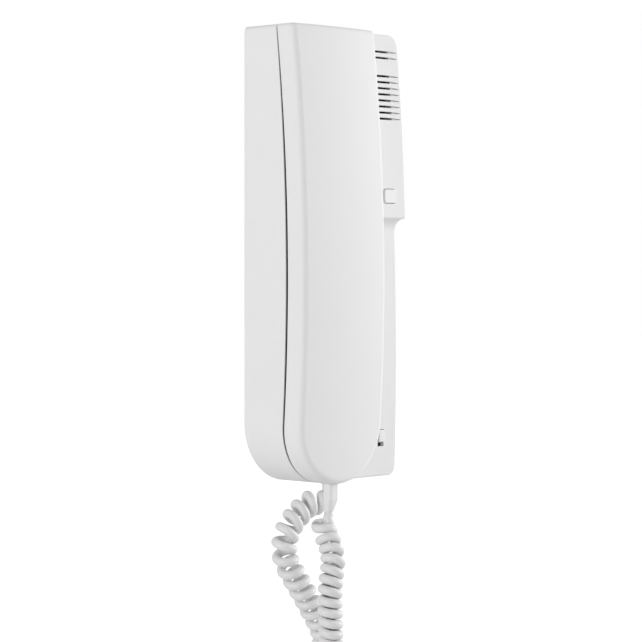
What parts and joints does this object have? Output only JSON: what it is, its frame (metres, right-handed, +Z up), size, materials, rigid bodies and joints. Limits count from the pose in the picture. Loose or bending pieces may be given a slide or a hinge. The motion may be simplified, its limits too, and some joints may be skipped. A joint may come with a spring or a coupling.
{
  "type": "audio intercom handset",
  "caption": "Wall-mounted audio intercom: a slim base with speaker grille, door key and slide switch, and a hanging handset on a curly cord.",
  "frame": {"origin": "middle between the two wall screw holes, on the back face that lies on the wall", "axes": "+X to the viewer's right, +Y into the wall, +Z up"},
  "size_m": [0.0856, 0.0416, 0.3299],
  "materials": {
    "shell_plastic": "fine satin",
    "key_plastic": "smooth",
    "moving_plastic": "smooth",
    "black_plastic": "matt",
    "terminal_plastic": "matt",
    "board": "satin",
    "steel": "plain",
    "can_metal": "plain",
    "magnet": "matt",
    "cone_paper": "matt",
    "grille_cloth": "matt",
    "gasket_foam": "foam",
    "dark_rubber": "matt",
    "boot_rubber": "matt",
    "cord_jacket": "satin"
  },
  "bodies": {
    "base": {"wall_plate": "shell_plastic", "base_cover": "shell_plastic", "cover_screw": "steel", "circuit_board": "board", "board_screws": "steel", "terminal_block": "terminal_plastic", "terminal_screws": "steel", "audio_chip": "black_plastic", "capacitors": "can_metal", "chip_resistors": "black_plastic", "call_speaker_frame": "steel", "call_speaker_cone": "cone_paper", "call_speaker_magnet": "magnet", "grille_mesh": "grille_cloth", "hook_switch": "black_plastic", "hook_spring": "steel", "door_switch": "black_plastic", "volume_switch": "can_metal", "cord_header": "black_plastic", "base_lead": "cord_jacket", "base_cord_grommet": "boot_rubber", "curly_cord": "cord_jacket"},
    "handset": {"handset_front": "shell_plastic", "handset_back": "shell_plastic", "earpiece_capsule": "black_plastic", "earpiece_gasket": "gasket_foam", "microphone_capsule": "can_metal", "microphone_grommet": "dark_rubber", "handset_screws": "steel", "handset_boot": "boot_rubber"},
    "hook": {"hook_plunger": "moving_plastic"},
    "door_key": {"door_button": "key_plastic", "door_switch_plunger": "moving_plastic"},
    "volume_slider": {"volume_knob": "key_plastic"}
  },
  "joints": [
    {"name": "handset_lift", "type": "slide", "parent": "base", "child": "handset", "axis": [0, -0.9397, 0.342], "range_m": [0, 0.06]},
    {"name": "hook_plunger_out", "type": "slide", "parent": "base", "child": "hook", "axis": [0, -1, 0], "range_m": [0, 0.003], "deforming": ["hook_spring"]},
    {"name": "door_key_press", "type": "slide", "parent": "base", "child": "door_key", "axis": [0, 1, 0], "range_m": [0, 0.0012], "stiffness_N_per_m": 1200, "springref_m": -0.0005},
    {"name": "volume_slide", "type": "slide", "parent": "base", "child": "volume_slider", "axis": [0, 0, 1], "range_m": [-0.002, 0]}
  ],
  "couplings": [
    {"joint": "hook_plunger_out", "follows": "handset_lift", "ratio": 0.05}
  ]
}
